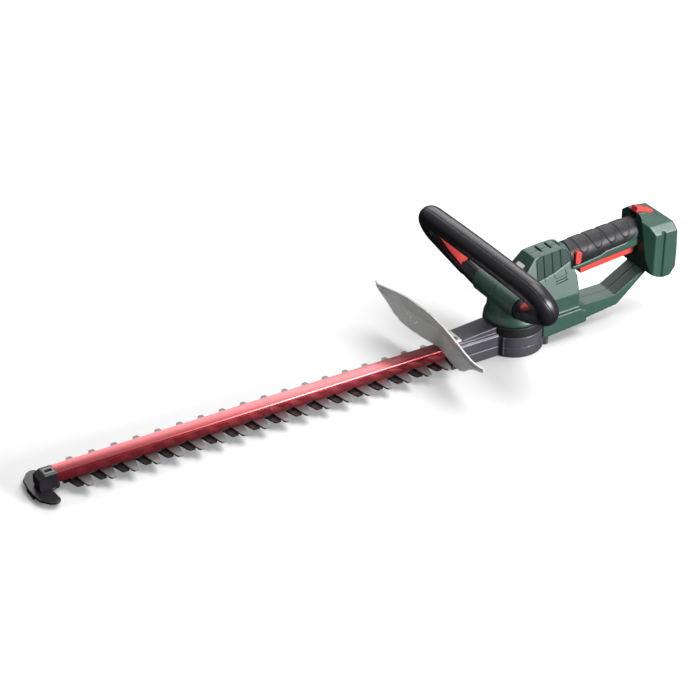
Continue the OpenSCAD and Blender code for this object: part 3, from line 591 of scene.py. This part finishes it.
def handle_half(node, front, cutters=()):
    """One moulded half of the loop handle, open on the inside where the switch bar comes through."""
    rings = []
    for place, angle, run in bail_path():
        slot = slot_half(run) * smooth_step((run - SLOT_STARTS) / SLOT_OPENS_IN)
        outer_r = BAIL_R + BAIL_SWELL * smooth_step((run - COLLAR_STARTS) / COLLAR_RUN)
        outer = math.pi - math.asin(slot / outer_r)
        inner_r = BAIL_R - BAIL_WALL
        inner = math.pi - math.asin(slot / inner_r)
        wall = [(outer_r, outer * k / WALL_STEPS) for k in range(WALL_STEPS + 1)]
        wall += [(inner_r, inner * k / WALL_STEPS) for k in range(WALL_STEPS, -1, -1)]
        corners = [(r * math.cos(a), front * r * math.sin(a)) for r, a in wall]
        rings.append(at_station(place, angle, corners))
    made = swept(rings)
    made.transform(bail_plane())
    shown = new_object(node + "_swept", made)
    soften = shown.modifiers.new("soften", "BEVEL")
    soften.width = HANDLE_ROUNDING
    soften.segments = 3
    soften.limit_method = "ANGLE"
    soften.angle_limit = math.radians(50)
    soften.use_clamp_overlap = False
    finish_cuts(shown, cutters, "EXACT")
    shade(shown, 60)
    dress(shown, node)


SWITCH_SUNK_R = 13.6 * MM
SWITCH_RISE = 3.9 * MM
SWITCH_CROWN = 1.5 * MM
SWITCH_BACK_R = 8 * MM
SWITCH_GAP = 0.9 * MM
SWITCH_SHARES = [k / 4 for k in range(-4, 5)]


def switch_bar():
    """The squeeze bar: a crowned strip that rises out of the slot and sinks back in at its ends."""
    rings = []
    for place, angle, run in bail_path():
        past_start = run - SWITCH_STARTS
        if past_start < 0:
            continue
        out = SWITCH_SUNK_R + SWITCH_RISE * smooth_step(past_start / SWITCH_RISES_IN)
        half = slot_half(run) - SWITCH_GAP
        crown = [(-out + SWITCH_CROWN * share**2, half * share) for share in SWITCH_SHARES]
        back = [(-SWITCH_BACK_R, half * share) for share in reversed(SWITCH_SHARES)]
        rings.append(at_station(place, angle, crown + back))
    made = swept(rings)
    made.transform(bail_plane())
    shown = new_object("front_switch_bar_swept", made)
    shade(shown, 40)
    dress(shown, "front_switch_bar")


# ---------- hand guard ----------

LINE_R = 0.8 * MM
LINE_SIDES = 8
LOWEST_RIM = 70 * MM
GUARD_ROUNDING = 0.3 * MM
GUARD_CREASE = 24


def guard_line():
    """Cutter for the sunk line along the guard's bend: a thin tube on the front of its plate."""
    turns = [math.tau * k / LINE_SIDES for k in range(LINE_SIDES)]
    made = clean_copy("hand_guard")
    stations = {}
    for vertex in made.verts:
        stations.setdefault(round(vertex.co.y, 5), []).append(vertex.co.copy())
    made.free()
    rings = []
    for across in sorted(stations):
        corners = sorted(stations[across], key=lambda corner: -corner.z)
        if corners[0].z < LOWEST_RIM or len(corners) < 4:
            continue
        # Below the two corners of the rim come the two of the bend, and the front one is wanted
        bend = max(corners[2:4], key=lambda corner: corner.x)
        rings.append([bend + LINE_R * Vector((math.cos(a), 0, math.sin(a))) for a in turns])
    return cutter("guard_line", swept(rings))


def hand_guard():
    """The bent see-through shield, with a line sunk along its bend."""
    line = guard_line()
    shown = machined("hand_guard", GUARD_ROUNDING, GUARD_CREASE)
    finish_cuts(shown, [line], "EXACT")
    shown.data.set_sharp_from_angle(angle=math.radians(GUARD_CREASE))


# ---------- blades ----------

TOOTH_ROOT = 10 * MM
TEETH_START = 100 * MM
TOOTH_BEVEL = 1.1 * MM


def ground_blade(node, top):
    """A blade whose teeth are ground to a bevel along their edges on the side away from the other blade."""
    made = clean_copy(node)
    bmesh.ops.dissolve_limit(made, angle_limit=math.radians(0.5), verts=made.verts, edges=made.edges)
    level = max(v.co.z for v in made.verts) if top else min(v.co.z for v in made.verts)
    edges = [
        e
        for e in made.edges
        if all(abs(v.co.z - level) < 1e-6 for v in e.verts)
        and max(abs(v.co.y) for v in e.verts) > TOOTH_ROOT
        and min(v.co.x for v in e.verts) > TEETH_START
        and len(e.link_faces) == 2
        and e.calc_face_angle() > 1
    ]
    bmesh.ops.bevel(made, geom=edges, offset=TOOTH_BEVEL, segments=1, affect="EDGES", clamp_overlap=True)
    shown = new_object(node + "_ground", made)
    shade(shown, 20)
    dress(shown, node)


# ---------- rubber grip ----------

GRIP_START = Vector((-76, 0, 112)) * MM
GRIP_SLOPE = math.radians(4)
GRIP_CORE_R = 15 * MM
PADS = 4
FIRST_PAD = 24 * MM
PAD_PITCH = 22.5 * MM
PAD_HALF_LENGTH = 10.2 * MM
PAD_HALF_TURN = math.radians(88)
PAD_HEIGHT = 0.9 * MM
PAD_EDGE = 0.16


def raised_pads(shown):
    """Raises a row of oval pads over the top and down the sides of the rubber grip."""
    along = Vector((-math.cos(GRIP_SLOPE), 0, math.sin(GRIP_SLOPE)))
    for vertex in shown.data.vertices:
        reach = vertex.co - GRIP_START
        run = reach.dot(along)
        out = reach - run * along
        if out.length < GRIP_CORE_R:
            continue
        turn = math.acos(max(-1, min(1, out.normalized().z))) / PAD_HALF_TURN
        lift = 0.0
        for i in range(PADS):
            across = (run - FIRST_PAD - i * PAD_PITCH) / PAD_HALF_LENGTH
            inside = 1 - math.hypot(across, turn)
            lift = max(lift, smooth_step(inside / PAD_EDGE))
        vertex.co += out.normalized() * PAD_HEIGHT * lift
    shown.data.update()


# ---------- the tool ----------

for node, shown in frame["nodes"].items():
    shown.data.materials.clear()
    shown.data.materials.append(MATERIALS[SLOT_OF[node]])

for node, side in (("housing_left", 1), ("housing_right", -1)):
    moulded(node, 0.9 * MM, 7, face_grooves(side))
raised_pads(moulded("soft_grip", 0.6 * MM, 5))
for node in ("vent_panel_left", "vent_panel_right"):
    moulded(node, 0.4 * MM, 2)
for node in ("gearbox_housing", "gearbox_cover"):
    moulded(node, 0.7 * MM, 4)
moulded("gearbox_seal", 0.7 * MM, 16)
hand_guard()
for node in ("rear_trigger", "release_button", "badge_plate", "tip_cap"):
    moulded(node, 0.35 * MM, 6)
moulded("lock_button", 0.35 * MM, 24)
moulded("tip_guard", 0.45 * MM, 6)
handle_half("front_handle_front", 1, [dimple(side) for side in (-1, 1)])
handle_half("front_handle_rear", -1)
switch_bar()
ground_blade("upper_blade", top=True)
ground_blade("lower_blade", top=False)
machined("blade_bar", 0.12 * MM)

# ---------- setting ----------

FLOOR_REACH = 40
CAMERA_PLACE = Vector((1.4506, 2.0176, 1.5054))
# Degrees about Z, then about the camera's own X and Z
CAMERA_TURNS = ((148.433, "Z"), (57.765, "X"), (0.454, "Z"))
LENS = 111.3
LENS_SHIFT = (-0.0391, 0.0386)
LAMPS_AIM = Vector((0.1, 0, 0.05))


def floor():
    """A wide pale floor that the tool rests on, and that doesn't show in the tool's gloss."""
    made = bmesh.new()
    bmesh.ops.create_grid(made, x_segments=4, y_segments=4, size=FLOOR_REACH)
    ground = new_object("floor", made)
    ground.location = (0, 0, cad_low.z)
    look = Look("floor", 0.9, specular=0.1)
    look.colour(look.ramp(look.noise(3, 2), (0.86, 0.86, 0.86), (0.88, 0.88, 0.88)))
    ground.data.materials.append(look.material)
    ground.visible_diffuse = False
    ground.visible_glossy = False


def lamp(name, place, size, watts):
    """A rectangular lamp that is aimed at the middle of the tool."""
    data = bpy.data.lights.new(name, "AREA")
    data.shape = "RECTANGLE"
    data.size, data.size_y = size
    data.energy = watts
    made = bpy.data.objects.new(name, data)
    made.location = place
    made.rotation_euler = (LAMPS_AIM - Vector(place)).to_track_quat("-Z", "Y").to_euler()
    bpy.context.scene.collection.objects.link(made)


def camera():
    """A long-lens camera ahead of the tool, on its left and above it."""
    data = bpy.data.cameras.new("camera")
    data.sensor_width = 36
    data.lens = LENS
    data.shift_x, data.shift_y = LENS_SHIFT
    data.clip_start, data.clip_end = 0.1, 30
    made = bpy.data.objects.new("camera", data)
    place = Matrix.Translation(CAMERA_PLACE)
    for degrees, axis in CAMERA_TURNS:
        place = place @ Matrix.Rotation(math.radians(degrees), 4, axis)
    made.matrix_world = place
    bpy.context.scene.collection.objects.link(made)
    bpy.context.scene.camera = made


def world():
    """A studio that is bright overhead, grey at the horizon and dark below it."""
    made = bpy.data.worlds.new("studio")
    made.use_nodes = True
    tree = made.node_tree
    place = tree.nodes.new("ShaderNodeTexCoord")
    split = tree.nodes.new("ShaderNodeSeparateXYZ")
    ramp = tree.nodes.new("ShaderNodeValToRGB")
    tree.links.new(place.outputs["Generated"], split.inputs["Vector"])
    tree.links.new(split.outputs["Z"], ramp.inputs["Fac"])
    tree.links.new(ramp.outputs["Color"], tree.nodes["Background"].inputs["Color"])
    below, overhead = ramp.color_ramp.elements
    below.position = 0.0
    below.color = (0.05, 0.05, 0.055, 1)
    overhead.position = 0.75
    overhead.color = (0.9, 0.9, 0.9, 1)
    horizon = ramp.color_ramp.elements.new(0.03)
    horizon.color = (0.45, 0.45, 0.45, 1)
    tree.nodes["Background"].inputs["Strength"].default_value = 0.4
    bpy.context.scene.world = made
    bpy.context.scene.view_settings.view_transform = "Standard"


floor()
world()
camera()
lamp("overhead", place=(-0.7, 0.0, 2.3), size=(2.4, 1.6), watts=50)
lamp("backdrop", place=(-1.0, -2.0, 1.4), size=(3.0, 0.9), watts=34)
lamp("side_key", place=(-1.3, 2.5, 0.6), size=(1.2, 1.0), watts=160)
